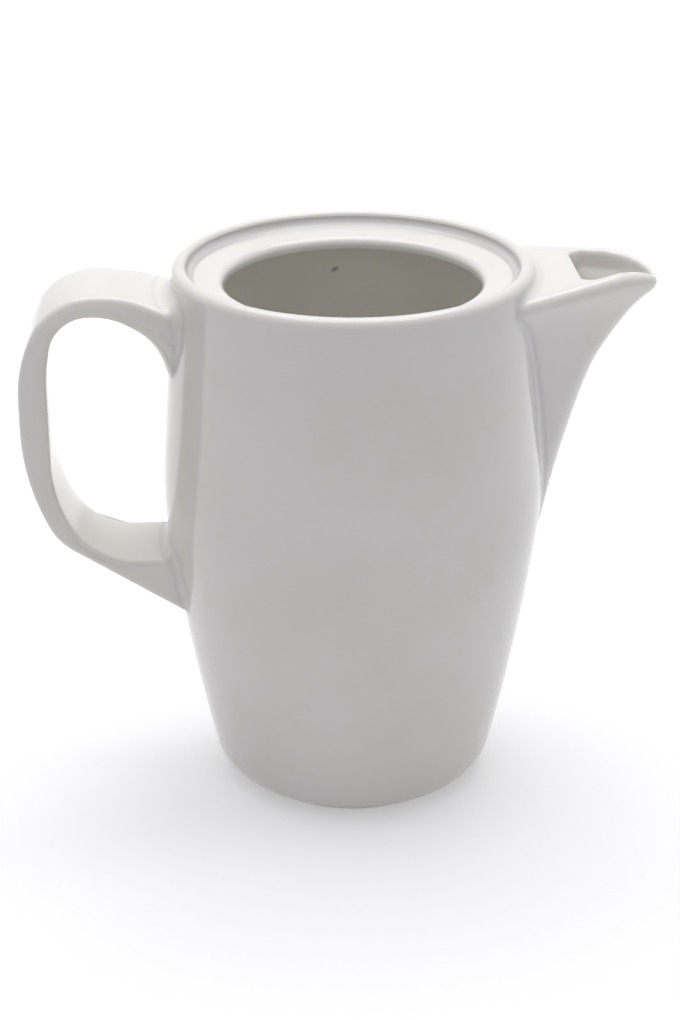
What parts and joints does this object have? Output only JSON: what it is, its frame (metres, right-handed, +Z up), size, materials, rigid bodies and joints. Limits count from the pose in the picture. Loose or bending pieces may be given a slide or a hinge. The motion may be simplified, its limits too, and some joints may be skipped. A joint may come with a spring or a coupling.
{
  "type": "coffee pot",
  "caption": "Tapered white glazed porcelain coffee pot, open at the top, with a recessed lid seat, a bridged beak spout and a strap handle; pours hot drinks.",
  "frame": {"origin": "centre of the plane that the foot ring stands on", "axes": "+X towards the spout, -X towards the handle, +Z up along the pot's axis"},
  "size_m": [0.1806, 0.1094, 0.158],
  "materials": {
    "glazed_porcelain": "clear glossy glaze over white porcelain",
    "bare_porcelain": "unglazed, fine sanded"
  },
  "bodies": {
    "root": {"pot_body": "glazed_porcelain", "foot_ring": "bare_porcelain", "lid_seat": "glazed_porcelain", "seat_slip": "glazed_porcelain", "handle": "glazed_porcelain", "upper_handle_slip": "glazed_porcelain", "lower_handle_slip": "glazed_porcelain", "spout": "glazed_porcelain", "spout_slip": "glazed_porcelain"}
  },
  "joints": []
}
